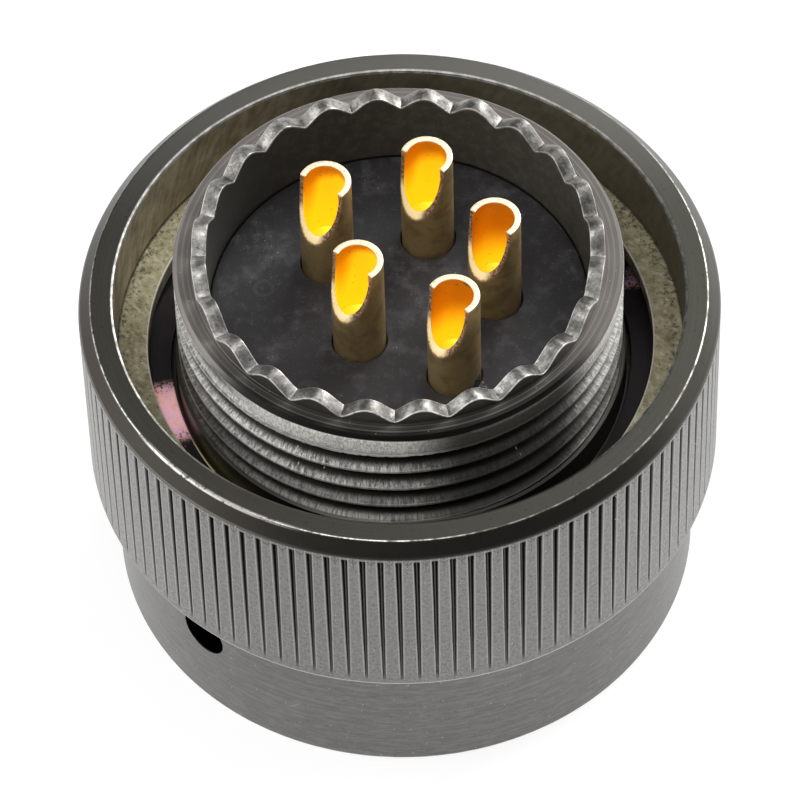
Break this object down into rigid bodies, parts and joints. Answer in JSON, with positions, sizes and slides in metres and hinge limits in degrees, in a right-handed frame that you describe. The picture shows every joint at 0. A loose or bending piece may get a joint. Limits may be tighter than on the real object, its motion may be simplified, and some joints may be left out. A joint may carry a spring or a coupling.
{
  "type": "bayonet circular connector plug",
  "caption": "Bayonet circular connector plug with a knurled coupling nut, a toothed accessory thread and gold solder cups in a dark insert.",
  "frame": {"origin": "on the plug's axis, at the front face of the coupling nut", "axes": "+Z along the axis from the mating end to the solder cups; +Y towards the master key and the ring's split"},
  "size_m": [0.0294, 0.0294, 0.0229],
  "materials": {
    "nut_finish": "worn dark grey plating",
    "shell_finish": "worn dark grey plating",
    "olive_plating": "olive passivated",
    "spring_steel": "iridescent passivated",
    "gasket_rubber": "matte",
    "rear_insert_rubber": "matte",
    "insert_plastic": "matte",
    "gold_plating": "gold plated",
    "hood_steel": "plain"
  },
  "bodies": {
    "shell": {"plug_shell": "shell_finish", "coupling_gasket": "gasket_rubber", "wave_spring": "spring_steel", "rear_insert": "rear_insert_rubber", "retention_plate": "insert_plastic", "front_insert": "insert_plastic", "contact_a": "gold_plating", "contact_b": "gold_plating", "contact_c": "gold_plating", "contact_d": "gold_plating", "contact_e": "gold_plating", "contact_hood_a": "hood_steel", "contact_hood_b": "hood_steel", "contact_hood_c": "hood_steel", "contact_hood_d": "hood_steel", "contact_hood_e": "hood_steel"},
    "washer": {"thrust_washer": "spring_steel"},
    "nut": {"coupling_nut": "nut_finish", "nut_retaining_ring": "olive_plating"}
  },
  "joints": [
    {"name": "nut_float", "type": "slide", "parent": "shell", "child": "washer", "axis": [0, 0, -1], "range_m": [0, 0.00055], "stiffness_N_per_m": 20000, "springref_m": -0.0005, "deforming": ["wave_spring"]},
    {"name": "nut_turn", "type": "hinge", "parent": "washer", "child": "nut", "pos_m": [0, 0, 0], "axis": [0, 0, 1], "continuous": true}
  ]
}
